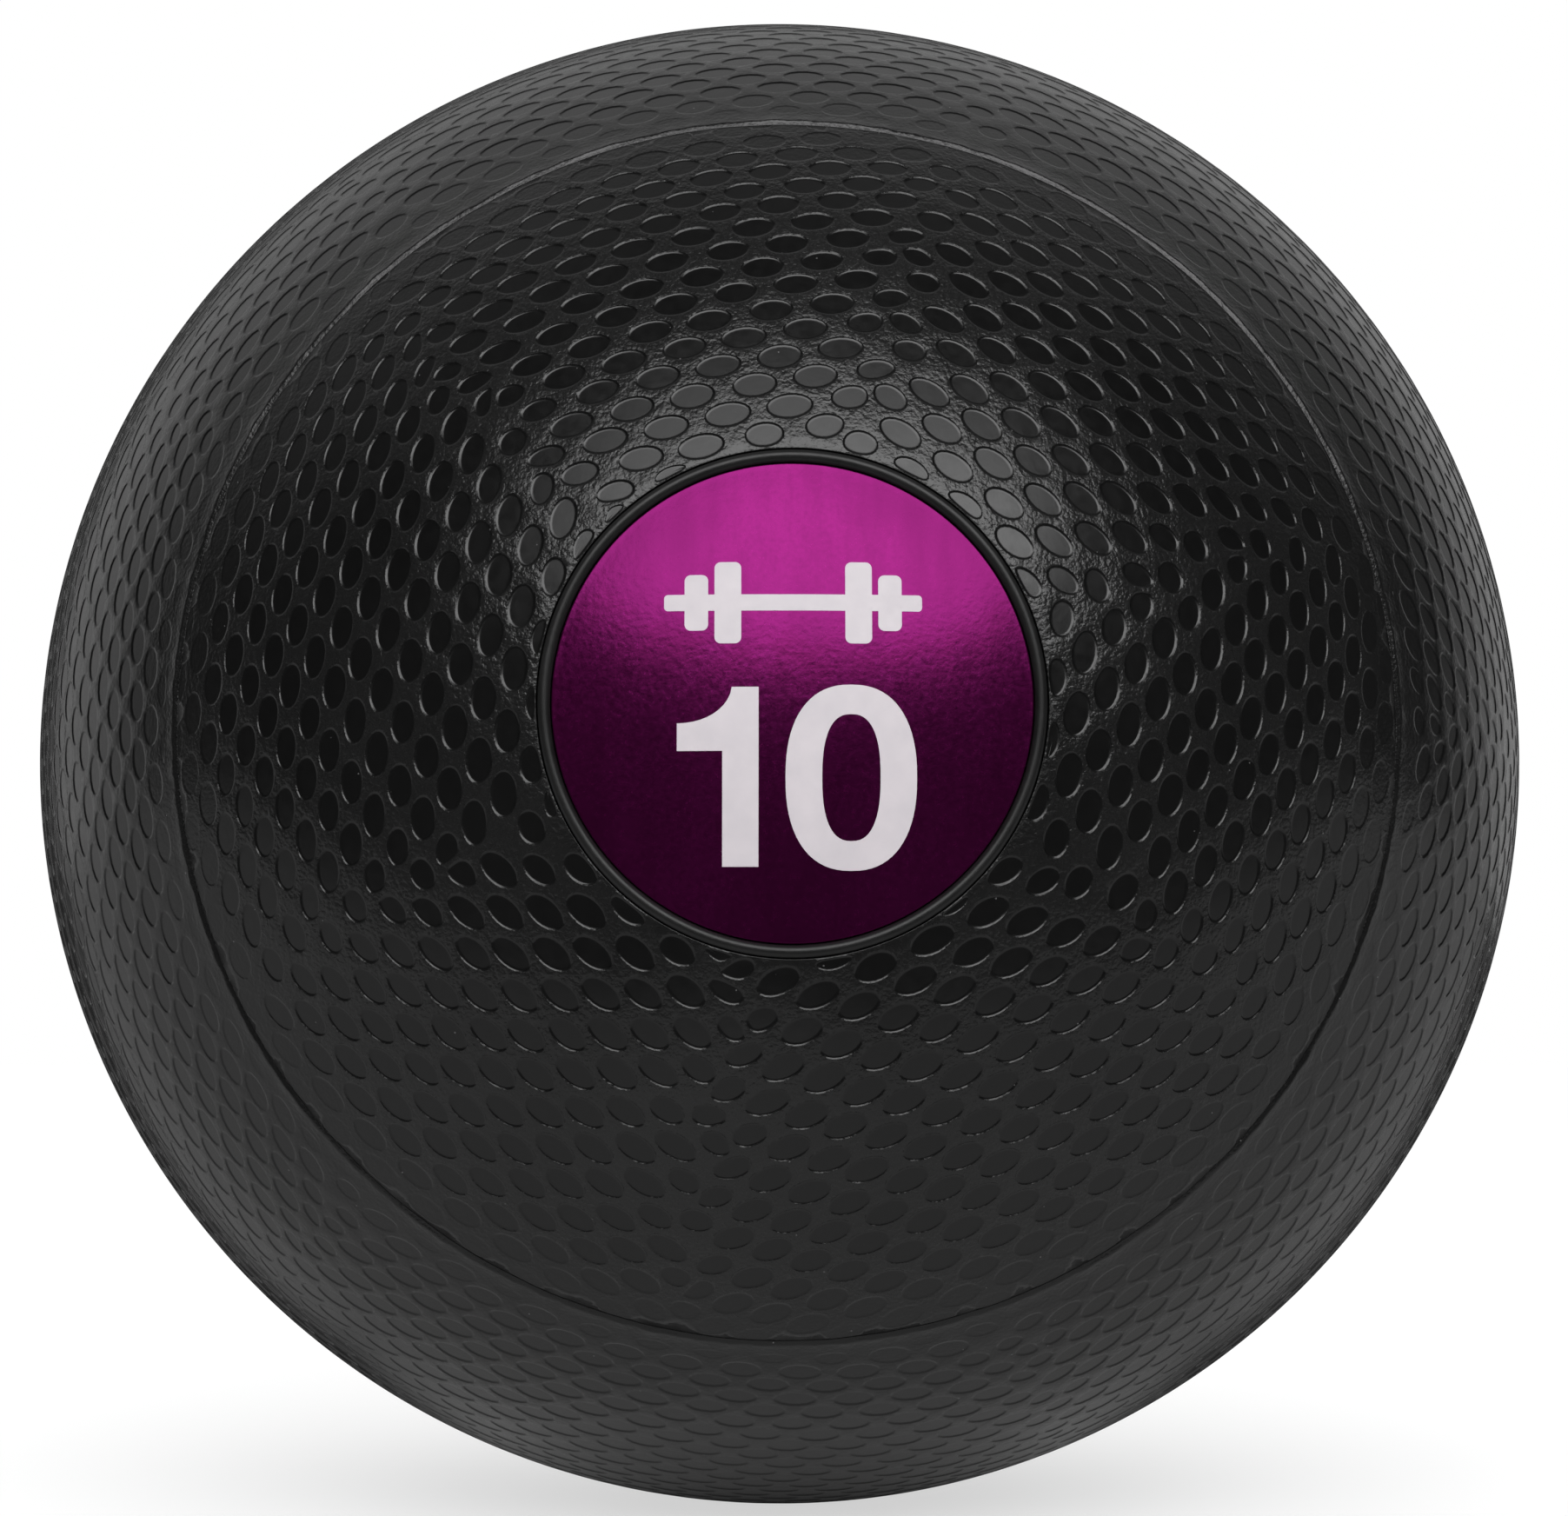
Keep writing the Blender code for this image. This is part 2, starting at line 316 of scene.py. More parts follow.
def fan(ring, pole):
    """Triangles between a ring and one point."""
    return np.stack([ring, np.roll(ring, -1), np.full(len(ring), pole)], axis=1)


def turned_rows(profile, steps):
    """One row of points for each profile point of radius and height, turned about the axis."""
    azimuth = np.arange(steps) * 2 * math.pi / steps
    rows = []
    for radius, height in profile:
        x, z = radius * np.cos(azimuth), radius * np.sin(azimuth)
        rows.append(np.stack([x, np.full(steps, -height), z], axis=1))
    return rows


def turned_piece(name, profile, material, steps, rear=False, start=None, end=None):
    """A closed body turned from a profile. start and end are heights of poles on the axis."""
    rows = turned_rows(profile, steps)
    points = np.concatenate(rows)
    rings = [np.arange(steps) + i * steps for i in range(len(rows))]
    triangles = [band(one, two) for one, two in zip(rings, rings[1:])]
    if start is None:
        triangles.append(band(rings[-1], rings[0]))
    else:
        for ring, height in ((rings[0], start), (rings[-1], end)):
            triangles.append(fan(ring, len(points)))
            points = np.concatenate([points, [[0, -height, 0]]])
    return make_piece(name, points, np.concatenate(triangles), material, rear=rear)


def arc_points(centre, radius, start, end, steps):
    """Points of radius and height on an arc, between two angles in degrees."""
    angles = [math.radians(start + (end - start) * i / steps) for i in range(steps + 1)]
    return [(centre[0] + radius * math.cos(a), centre[1] + radius * math.sin(a)) for a in angles]


def on_sphere(radius, polar):
    return (radius * math.sin(polar), radius * math.cos(polar))


def sphere_arc(radius, start, end, steps):
    """Points of radius and height along a sphere about the ball's centre."""
    return [on_sphere(radius, start + (end - start) * i / steps) for i in range(steps + 1)]


# ---- oval recesses ----


class Ovals:
    """The recesses of one zone: unit centres, unit axes along and across, and half sizes."""

    def __init__(self, zone, low, high):
        starts = [start for start, _ in zone.gores]
        ends = starts[1:] + [starts[0] + 360]
        found = []
        for number, ((start, middle), end) in enumerate(zip(zone.gores, ends)):
            found.append(self.gore_lattice(number, start, end, middle, zone.row_pitch, low, high))
        self.centre, self.along, squeeze = (
            np.concatenate([part[i] for part in found]) for i in range(3)
        )
        self.gore = np.concatenate([np.full(len(part[0]), i) for i, part in enumerate(found)])
        self.across = np.cross(self.centre, self.along)
        count = len(self.centre)
        self.merged = np.zeros(count, bool)

        chance = np.random.default_rng(SEED)
        nudge = chance.uniform(-PLACE_JITTER, PLACE_JITTER, (count, 2)) / BALL_RADIUS
        self.centre = self.centre + nudge[:, :1] * self.along + nudge[:, 1:] * self.across
        turn = chance.uniform(-TURN_JITTER, TURN_JITTER, count)[:, None]
        self.along = self.along + turn * self.across
        self.half_length = OVAL_LENGTH / 2 * chance.uniform(*LENGTH_SPREAD, count)
        self.half_width = OVAL_WIDTH / 2 * np.sqrt(squeeze) * chance.uniform(*WIDTH_SPREAD, count)
        self.level()

    @staticmethod
    def gore_lattice(number, start, end, middle, row_pitch, low, high):
        """A brick lattice on great circles square to the gore's middle line."""
        rows = np.arange(1, int(ROWS_END / row_pitch))
        columns = np.arange(-COLUMNS_EACH_WAY, COLUMNS_EACH_WAY + 1)
        row, column = (grid.ravel() for grid in np.meshgrid(rows, columns, indexing="ij"))
        theta = np.radians((row + ROW_PHASE * number % 1) * row_pitch)
        beta = np.radians((column + 0.5 * (row % 2) + COLUMN_PHASE * number % 1) * ALONG_PITCH)
        middle = math.radians(middle)
        axis = np.array([0.0, -1.0, 0.0])
        out = np.array([math.cos(middle), 0.0, math.sin(middle)])
        side = np.cross(axis, out)
        stem = np.cos(theta)[:, None] * axis + np.sin(theta)[:, None] * out
        centre = np.cos(beta)[:, None] * stem + np.sin(beta)[:, None] * side
        along = -np.sin(beta)[:, None] * stem + np.cos(beta)[:, None] * side
        polar = polar_of(centre)
        turn = (np.degrees(azimuth_of(centre)) - start) % 360
        reach = OVAL_LENGTH / 2 / BALL_RADIUS
        keep = (polar > low - reach) & (polar < high + reach)
        overlap = np.degrees(GORE_OVERLAP / BALL_RADIUS / np.sin(polar))
        keep &= ((turn + overlap) % 360) < end - start + 2 * overlap
        return centre[keep], along[keep], np.cos(beta[keep])

    def level(self):
        """Makes the centres and axes unit vectors at right angles again."""
        self.centre /= np.linalg.norm(self.centre, axis=1)[:, None]
        self.along -= (self.along * self.centre).sum(1)[:, None] * self.centre
        self.along /= np.linalg.norm(self.along, axis=1)[:, None]
        self.across = np.cross(self.centre, self.along)

    def keep_only(self, keep):
        for name in ("centre", "along", "across", "gore", "half_length", "half_width", "merged"):
            setattr(self, name, getattr(self, name)[keep])

    def close_pairs(self, distance):
        """Pairs of recesses with centres nearer than this, with their distance."""
        tree = KDTree(len(self.centre))
        for i, centre in enumerate(self.centre):
            tree.insert(Vector(centre * BALL_RADIUS), i)
        tree.balance()
        for i, centre in enumerate(self.centre):
            for _, j, apart in tree.find_range(Vector(centre * BALL_RADIUS), distance):
                if i < j:
                    yield i, j, apart

    def merge_crowded(self):
        """Where two gores meet, two recesses almost on one spot become one rounder one."""
        gone = np.zeros(len(self.centre), bool)
        for i, j, _ in self.close_pairs(MERGE_DISTANCE):
            if gone[i] or gone[j]:
                continue
            gone[j] = True
            self.merged[i] = True
            self.centre[i] = self.centre[i] + self.centre[j]
            same_way = math.copysign(1.0, float(self.along[i] @ self.along[j]))
            self.along[i] = self.along[i] + same_way * self.along[j]
            self.half_length[i] *= MERGED_LENGTH
            self.half_width[i] *= MERGED_WIDTH
        self.keep_only(~gone)
        self.level()

    def give_way(self):
        """Shrinks neighbours in one gore that would leave too little web between them."""
        for i, j, _ in self.close_pairs(OVAL_LENGTH):
            if self.gore[i] != self.gore[j] or self.merged[i] or self.merged[j]:
                continue
            line = (self.centre[j] - self.centre[i]) * BALL_RADIUS
            length = self.half_length[i] + self.half_length[j] + LEAST_ROW_WEB
            width = self.half_width[i] + self.half_width[j] + LEAST_ROW_WEB
            room = math.hypot(line @ self.along[i] / length, line @ self.across[i] / width)
            if room < 1:
                for one in (i, j):
                    self.half_length[one] *= room
                    self.half_width[one] *= room

    def reach(self, i, way):
        """How far recess i reaches along a unit direction in its own plane."""
        return math.hypot(self.half_length[i] * way[0], self.half_width[i] * way[1])

    def neighbour_limits(self):
        """For each recess, the lines that keep it clear of those of the next gore."""
        limits = [[] for _ in self.centre]
        for i, j, apart in self.close_pairs(OVAL_LENGTH + LEAST_WEB):
            if self.gore[i] == self.gore[j] and not (self.merged[i] or self.merged[j]):
                continue
            ways = []
            for one, other in ((i, j), (j, i)):
                line = self.centre[other] - self.centre[one]
                way = Vector((line @ self.along[one], line @ self.across[one])).normalized()
                ways.append(way)
            reach_i, reach_j = self.reach(i, ways[0]), self.reach(j, ways[1])
            if reach_i + reach_j + LEAST_WEB < apart:
                continue
            split = apart * reach_i / (reach_i + reach_j)
            limits[i].append((ways[0], split - LEAST_WEB / 2))
            limits[j].append((ways[1], apart - split - LEAST_WEB / 2))
        return limits

    def add_edge_limits(self, limits, low, high):
        """Adds the lines that keep each recess within the zone's two edges."""
        polar, azimuth = polar_of(self.centre), azimuth_of(self.centre)
        outward = direction(polar + math.pi / 2, azimuth)
        for i, way_out in enumerate(outward):
            way = Vector((way_out @ self.along[i], way_out @ self.across[i])).normalized()
            for line, room in ((way, high - polar[i]), (-way, polar[i] - low)):
                room = room * BALL_RADIUS - EDGE_MARGIN
                if self.reach(i, line) > room:
                    limits[i].append((line, room))

    def outlines(self, sides, limits):
        """Each recess's outline in its own plane. Recesses with too little left are dropped."""
        coarse = np.arange(sides) * 2 * math.pi / sides
        fine = [2 * math.pi * k / CUT_SIDES for k in range(CUT_SIDES)]
        least_area = LEAST_OVAL_SHARE * math.pi * OVAL_LENGTH * OVAL_WIDTH / 4
        shapes = np.zeros((len(self.centre), sides, 2))
        shapes[:, :, 0] = self.half_length[:, None] * np.cos(coarse)
        shapes[:, :, 1] = self.half_width[:, None] * np.sin(coarse)
        keep = np.ones(len(self.centre), bool)
        for i, lines in enumerate(limits):
            if not lines:
                continue
            a, b = self.half_length[i], self.half_width[i]
            outline = cut_back([Vector((a * math.cos(t), b * math.sin(t))) for t in fine], lines)
            if polygon_area(outline) < least_area:
                keep[i] = False
            else:
                shapes[i] = respaced(outline, sides)
        self.keep_only(keep)
        return shapes[keep]


def cut_back(outline, lines):
    """Cuts a convex outline along lines, each a direction and how far it may reach there."""
    for way, room in lines:
        kept = []
        for i, point in enumerate(outline):
            before = outline[i - 1]
            over, over_before = point.dot(way) - room, before.dot(way) - room
            if (over > 0) != (over_before > 0):
                kept.append(before.lerp(point, over_before / (over_before - over)))
            if over <= 0:
                kept.append(point)
        outline = kept
    return outline


def polygon_area(outline):
    return sum(outline[i - 1].cross(point) for i, point in enumerate(outline)) / 2


def respaced(outline, sides):
    """The outline through evenly spaced points, with its corners rounded off."""
    points = np.array([tuple(point) for point in outline + outline[:1]])
    lengths = np.linalg.norm(np.diff(points, axis=0), axis=1)
    travelled = np.concatenate([[0], np.cumsum(lengths)])
    wanted = np.arange(sides) * travelled[-1] / sides
    even = np.stack([np.interp(wanted, travelled, points[:, k]) for k in range(2)], axis=1)
    for _ in range(CORNER_PASSES):
        even = even / 2 + (np.roll(even, 1, axis=0) + np.roll(even, -1, axis=0)) / 4
    return even


def recess_rows(ovals, shapes, web_polish):
    """Rings of points for each recess, from its top edge to its floor, then its middle.

    Each ring goes with how polished the recesses are there.
    """
    tangent = np.roll(shapes, -1, axis=1) - np.roll(shapes, 1, axis=1)
    normal = np.stack([tangent[..., 1], -tangent[..., 0]], axis=-1)
    normal /= np.linalg.norm(normal, axis=-1)[..., None]
    middle = shapes.mean(axis=1, keepdims=True)
    narrowest = np.linalg.norm(shapes - middle, axis=-1).min(axis=1)
    share = np.clip(narrowest / SMALL_OVAL, LEAST_WALL_SHARE, 1)[:, None, None]
    polar = polar_of(ovals.centre)
    from_seam = np.minimum(np.abs(polar - SEAM), np.abs(math.pi - polar - SEAM)) * BALL_RADIUS
    fade = np.interp(from_seam, [SHALLOW_FROM, SHALLOW_TO], [SHALLOW_SHARE, 1])
    flat_rows = []
    for outset, depth, shine in WALL_STEPS:
        inset_share = share if outset < 0 else 1.0
        flat_rows.append((shapes + outset * inset_share * normal, depth, shine))
    flat_rows.append((middle, 1.0, 1.0))

    rows = []
    for flat, depth, shine in flat_rows:
        x, y = flat[..., :1] / BALL_RADIUS, flat[..., 1:] / BALL_RADIUS
        place = ovals.centre[:, None] + x * ovals.along[:, None] + y * ovals.across[:, None]
        place /= np.linalg.norm(place, axis=-1)[..., None]
        radius = BALL_RADIUS - OVAL_DEPTH * depth * share * fade[:, None, None]
        polish = web_polish + (1 - web_polish) * shine
        rows.append((place * radius, SEAM_POLISH + (polish - SEAM_POLISH) * fade))
    return rows


# ---- textured skins ----


def flattened(points):
    """Stereographic projection from the rear pole, which keeps circles round."""
    polar, azimuth = polar_of(points), azimuth_of(points)
    spread = np.tan(polar / 2)
    return np.stack([spread * np.cos(azimuth), spread * np.sin(azimuth)], axis=1)


def web_triangles(points, rings):
    """Fills the sphere between closed rings of points, of which the last is the outermost."""
    flat = flattened(points)
    triangles = triangulated(flat, rings)
    group = np.full(len(points), -1)
    for number, ring in enumerate(rings):
        group[ring] = number
    # Three corners on one ring, in the ring's order, turn anticlockwise where the triangle lies
    # inside it. Those are left out, but for the outermost ring, which has the web inside it.
    groups = group[triangles]
    one_ring = (groups[:, 0] == groups[:, 1]) & (groups[:, 1] == groups[:, 2])
    a, b, c = (flat[corner] for corner in np.sort(triangles, axis=1).T)
    anticlockwise = np.cross(b - a, c - a) > 0
    outermost = groups[:, 0] == len(rings) - 1
    return triangles[~one_ring | ~anticlockwise | outermost]


def recess_triangles(ring_starts, index):
    """Walls and floors of the recesses. index numbers the points of one ring of each recess."""
    after = np.roll(index, -1, axis=1)
    parts = []
    for upper, lower in zip(ring_starts[:-2], ring_starts[1:-1]):
        parts.append(np.stack([upper + index, upper + after, lower + after], -1))
        parts.append(np.stack([upper + index, lower + after, lower + index], -1))
    floor, middle = ring_starts[-2:]
    middles = np.broadcast_to(middle + np.arange(len(index))[:, None], index.shape)
    parts.append(np.stack([floor + index, floor + after, middles], -1))
    return [part.reshape(-1, 3) for part in parts]


def textured_skin(name, zone, low, high, low_side, high_side, rear=False):
    """A cover panel: recesses and web outside, and turned profiles for its other sides.

    low and high are the polar angles of its textured side. low_side and high_side are the
    profiles that run on from there. Each ends on the axis, or the two ends are joined.
    """
    ovals = Ovals(zone, low, high)
    ovals.merge_crowded()
    ovals.give_way()
    limits = ovals.neighbour_limits()
    ovals.add_edge_limits(limits, low, high)
    shapes = ovals.outlines(zone.sides, limits)

    points, polish, ring_starts = [], [], []
    start = 0
    for place, shine in recess_rows(ovals, shapes, zone.web_polish):
        ring_starts.append(start)
        points.append(place.reshape(-1, 3))
        polish.append(np.repeat(shine, place.shape[1]))
        start += len(points[-1])
    index = np.arange(len(shapes) * zone.sides).reshape(-1, zone.sides)
    triangles = recess_triangles(ring_starts, index)

    steps = np.arange(zone.steps)
    turn = steps * 2 * math.pi / zone.steps
    for angle in (low, high):
        points.append(direction(np.full(zone.steps, angle), turn) * BALL_RADIUS)
        polish.append(np.full(zone.steps, SEAM_POLISH))
    edge_rings = [start + steps, start + zone.steps + steps]
    outline = np.concatenate([index.ravel(), *edge_rings])
    rings = [*index, index.size + steps, index.size + zone.steps + steps]
    web = web_triangles(np.concatenate(points)[outline], rings)
    triangles.append(outline[web])
    start += 2 * zone.steps

    open_rings = []
    for ring, profile in zip(edge_rings, (low_side, high_side)):
        end_radius, end_height = profile[-1]
        ends_on_axis = math.isclose(end_radius, 0, abs_tol=0.001 * MM)
        for row in turned_rows(profile[:-1] if ends_on_axis else profile, zone.steps):
            points.append(row)
            polish.append(np.full(zone.steps, EDGE_POLISH))
            triangles.append(band(ring, start + steps))
            ring = start + steps
            start += zone.steps
        if ends_on_axis:
            points.append([[0, -end_height, 0]])
            polish.append([EDGE_POLISH])
            triangles.append(fan(ring, start))
            start += 1
        else:
            open_rings.append(ring)
    if open_rings:
        triangles.append(band(*open_rings))

    points = wandered(np.concatenate(points))
    triangles, polish = np.concatenate(triangles), np.concatenate(polish)
    return make_piece(name, points, triangles, rubber, polish, rear)


def lip(distance):
    """A well's rounded edge: the polar angle where it starts, and its profile down the wall."""
    polar = math.asin((distance + LIP_ROUND) / BALL_RADIUS)
    centre = (distance + LIP_ROUND, BALL_RADIUS * math.cos(polar) - LIP_ROUND)
    return polar, arc_points(centre, LIP_ROUND, 90, 180, 5)[1:]


def cap(name, node, low, low_side, hole_radius, rear=False):
    """A cap with its edge at the mould line, its lip under the belt and its inner side."""
    seam, lip_end = SEAM - HALF_GAP, SEAM + COVER_LAP - HALF_GAP
    lip_top = COVER_MIDDLE - GAP / 2
    high_side = [on_sphere(lip_top, seam), on_sphere(lip_top, lip_end)]
    high_side += sphere_arc(COVER_INNER, lip_end, math.asin(hole_radius / COVER_INNER), 24)
    skin = textured_skin(name, CAP, low, seam, low_side, high_side, rear)
    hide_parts(node)


def front_cap():
    low, edge = lip(RECESS_RADIUS)
    floor = sphere_arc(RECESS_FLOOR, math.asin(RECESS_RADIUS / RECESS_FLOOR), 0.0, 6)
    cap("front_cap_skin", "front_cover_cap", low, edge + floor, 0.0)


def rear_cap():
    low, edge = lip(WELL_RADIUS)
    neck = NECK_RADIUS + GAP
    floor = [(WELL_RADIUS, VALVE_FACE), (neck, VALVE_FACE)]
    cap("rear_cap_skin", "rear_cover_cap", low, edge + floor, neck, rear=True)


def belt():
    """The belt, which steps over the caps' lips. Its rear half mirrors its front half."""
    seam, lap = SEAM + HALF_GAP, SEAM + COVER_LAP + HALF_GAP
    low = seam + FLASH_SECTION[0][0] * MM / BALL_RADIUS
    step = COVER_MIDDLE + GAP / 2
    front_side = []
    for distance, height in FLASH_SECTION[1:]:
        polar = seam + distance * MM / BALL_RADIUS
        front_side.append(on_sphere(BALL_RADIUS + height * MM, polar))
    front_side += [on_sphere(step, seam), on_sphere(step, lap)]
    front_side += sphere_arc(COVER_INNER, lap, math.pi / 2, 8)
    rear_side = [(radius, -height) for radius, height in front_side[:-1]]
    skin = textured_skin("belt_skin", BELT, low, math.pi - low, front_side, rear_side)
    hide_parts("cover_belt")


# ---- badge ----


def badge_rim():
    """A ring with a round bead on top, which stands on the floor of the badge's recess."""
    bead_radius = (RIM_OUTER_RADIUS - RIM_INNER_RADIUS) / 2
    centre = (RIM_INNER_RADIUS + bead_radius, RIM_CREST - bead_radius)
    foot = math.sqrt((RECESS_FLOOR + GAP) ** 2 - RIM_INNER_RADIUS**2)
    profile = arc_points(centre, bead_radius, 180, 0, 16)
    profile += [(RIM_OUTER_RADIUS, foot), (RIM_INNER_RADIUS, foot)]
    rim = turned_piece("badge_bead", profile, bead_rubber, 360)
    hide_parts("badge_rim")


def badge_plate():
    """A domed plate whose rim turns down in a small round."""
    first_ring = 0.004
    turn_in = BADGE_RADIUS - BADGE_EDGE_ROUND
    edge_polar = math.asin(turn_in / BADGE_FACE)
    edge_height = BADGE_FACE * math.cos(edge_polar) - BADGE_EDGE_ROUND
    profile = sphere_arc(BADGE_FACE, first_ring, edge_polar, 40)
    profile += arc_points((turn_in, edge_height), BADGE_EDGE_ROUND, 75, 0, 5)
    profile += sphere_arc(BADGE_INNER, math.asin(BADGE_RADIUS / BADGE_INNER), first_ring, 12)
    plate = turned_piece(
        "badge_face", profile, badge_foil, 240, start=BADGE_FACE, end=BADGE_INNER
    )
    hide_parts("badge_plate")


# ---- print on the badge ----

PRINT_GRID = 1.1 * MM
DIGIT_TOP = 1.6 * MM
DIGIT_BOTTOM = -21.1 * MM
STEM_LEFT = -9.0 * MM
STEM_RIGHT = -4.4 * MM
FLAG_LEFT = -14.75 * MM
FLAG_RIGHT = -7.8 * MM
FLAG_TOP = -3.0 * MM
FLAG_BOTTOM = -6.5 * MM
# Powers that bend the top of the flag, along it and upwards.
FLAG_BENDS = (1.6, 1.9)
ZERO_CENTRE = (7.35 * MM, -9.85 * MM)
ZERO_HALF = (8.35 * MM, 11.75 * MM)
ZERO_SQUARENESS = 2.35
COUNTER_HALF = (3.7 * MM, 8.0 * MM)
COUNTER_SQUARENESS = 2.5
BARBELL_HEIGHT = 12.4 * MM
BAR_HALF = (16.4 * MM, 1.05 * MM)
BAR_ROUND = 0.5 * MM
# Each plate of the barbell: how far from its middle, half its width and half its height.
BARBELL_PLATES = ((8.3 * MM, 1.7 * MM, 5.25 * MM), (12.3 * MM, 1.5 * MM, 3.6 * MM))
PLATE_ROUND = 0.8 * MM


def superellipse(centre, half, power, count):
    """An ellipse that is squarer the higher its power is."""
    points = []
    for k in range(count):
        turn = 2 * math.pi * k / count
        c, s = math.cos(turn), math.sin(turn)
        x = math.copysign(abs(c) ** (2 / power), c) * half[0]
        y = math.copysign(abs(s) ** (2 / power), s) * half[1]
        points.append((centre[0] + x, centre[1] + y))
    return points


def rounded_box(centre, half, corner):
    points = []
    for quarter, (side_x, side_y) in enumerate(((1, 1), (-1, 1), (-1, -1), (1, -1))):
        middle = (centre[0] + side_x * (half[0] - corner), centre[1] + side_y * (half[1] - corner))
        points += arc_points(middle, corner, 90 * quarter, 90 * (quarter + 1), 6)
    return points


def digit_one():
    flag = []
    steps = 10
    for k in range(steps + 1):
        t = k / steps
        x = FLAG_RIGHT + (FLAG_LEFT - FLAG_RIGHT) * t ** FLAG_BENDS[0]
        y = DIGIT_TOP + (FLAG_TOP - DIGIT_TOP) * (1 - (1 - t) ** FLAG_BENDS[1])
        flag.append((x, y))
    stem = [(STEM_RIGHT, DIGIT_BOTTOM), (STEM_RIGHT, DIGIT_TOP)]
    foot = [(FLAG_LEFT, FLAG_BOTTOM), (STEM_LEFT, FLAG_BOTTOM), (STEM_LEFT, DIGIT_BOTTOM)]
    return [stem + flag + foot]


def digit_zero():
    outer = superellipse(ZERO_CENTRE, ZERO_HALF, ZERO_SQUARENESS, 72)
    counter = superellipse(ZERO_CENTRE, COUNTER_HALF, COUNTER_SQUARENESS, 56)
    return [outer, counter]


def barbell_parts():
    """A plain barbell: a bar with an inner and an outer plate near each end."""
    parts = [[rounded_box((0, BARBELL_HEIGHT), BAR_HALF, BAR_ROUND)]]
    for side in (-1, 1):
        for distance, half_width, half_height in BARBELL_PLATES:
            middle = (side * distance, BARBELL_HEIGHT)
            parts.append([rounded_box(middle, (half_width, half_height), PLATE_ROUND)])
    return parts


def inside(loops, point):
    """Whether a point lies within an odd number of the loops."""
    odd = False
    for loop in loops:
        for i, (x1, y1) in enumerate(loop):
            x0, y0 = loop[i - 1]
            if (y0 > point[1]) != (y1 > point[1]):
                if point[0] < x0 + (point[1] - y0) * (x1 - x0) / (y1 - y0):
                    odd = not odd
    return odd


def subdivided(loop):
    """The loop with extra points, so that its straight sides follow the dome."""
    points = []
    for i, (x1, y1) in enumerate(loop):
        x0, y0 = loop[i - 1]
        pieces = max(1, round(math.hypot(x1 - x0, y1 - y0) / PRINT_GRID))
        for k in range(pieces):
            points.append((x0 + (x1 - x0) * k / pieces, y0 + (y1 - y0) * k / pieces))
    return points


def printed(name, loops):
    """A thin raised print that follows the badge's dome, from flat outlines."""
    loops = [subdivided(loop) for loop in loops]
    flat, rings = [], []
    for loop in loops:
        rings.append(np.arange(len(loop)) + len(flat))
        flat += loop
    xs, ys = [p[0] for p in flat], [p[1] for p in flat]
    for column in range(int((max(xs) - min(xs)) / PRINT_GRID)):
        for row in range(int((max(ys) - min(ys)) / PRINT_GRID)):
            x = min(xs) + (column + 0.5 + 0.25 * (row % 2)) * PRINT_GRID
            y = min(ys) + (row + 0.5) * PRINT_GRID
            clear = min(math.hypot(x - px, y - py) for px, py in flat) > 0.5 * PRINT_GRID
            if clear and inside(loops, (x, y)):
                flat.append((x, y))
    flat = np.array(flat)
    faces = triangulated(flat, rings)
    faces = faces[[inside(loops, flat[face].mean(axis=0)) for face in faces]]
    layers = []
    for lift in (PRINT_THICKNESS, -PRINT_THICKNESS):
        height = np.sqrt(BADGE_FACE**2 - (flat**2).sum(1)) + lift
        layers.append(np.stack([flat[:, 0], -height, flat[:, 1]], axis=1))
    count = len(flat)
    triangles = [faces, faces[:, ::-1] + count]
    triangles += [band(ring, ring + count) for ring in rings]
    piece = make_piece(name, np.concatenate(layers), np.concatenate(triangles), ink)
    piece.data.shade_flat()


def badge_print():
    printed("badge_digit_1", digit_one())
    printed("badge_digit_0", digit_zero())
    for number, loops in enumerate(barbell_parts()):
        printed(f"badge_barbell_{number}", loops)


# ---- valve ----

PLUG_RADIUS = 2.8 * MM
PLUG_SINK = 0.3 * MM
PLUG_HEAD = 1.2 * MM
PLUG_LENGTH = 16.0 * MM
SHANK_RADIUS = 1.8 * MM
NEEDLE_RADIUS = 0.6 * MM
NEEDLE_DEPTH = 11.0 * MM
# The rounds at the needle hole and at the head's edge: radius, and how deep the centre lies.
HOLE_ROUND = (0.25 * MM, 0.2 * MM)
HEAD_ROUND = (0.3 * MM, 0.38 * MM)


def valve_plug():
    """A turned plug with a slightly domed head and a needle hole."""
    face = VALVE_FACE - PLUG_SINK
    needle_end, plug_end = face - NEEDLE_DEPTH, face - PLUG_LENGTH
    round_size, depth = HOLE_ROUND
    profile = [(NEEDLE_RADIUS, needle_end)]
    profile += arc_points((NEEDLE_RADIUS + round_size, face - depth), round_size, 180, 90, 4)
    round_size, depth = HEAD_ROUND
    profile += arc_points((PLUG_RADIUS - round_size, face - depth), round_size, 80, 0, 5)
    profile += [(PLUG_RADIUS, face - PLUG_HEAD), (SHANK_RADIUS, face - PLUG_HEAD)]
    profile += [(SHANK_RADIUS, plug_end)]
    plug = turned_piece(
        "valve_plug_shown", profile, valve_rubber, 64,
        rear=True, start=needle_end, end=plug_end,
    )
    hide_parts("valve_plug")


# ---- materials ----

# Where a Mix node has its two colours and its result: their names aren't unique.
MIX_FIRST, MIX_SECOND, MIX_RESULT = 6, 7, 2


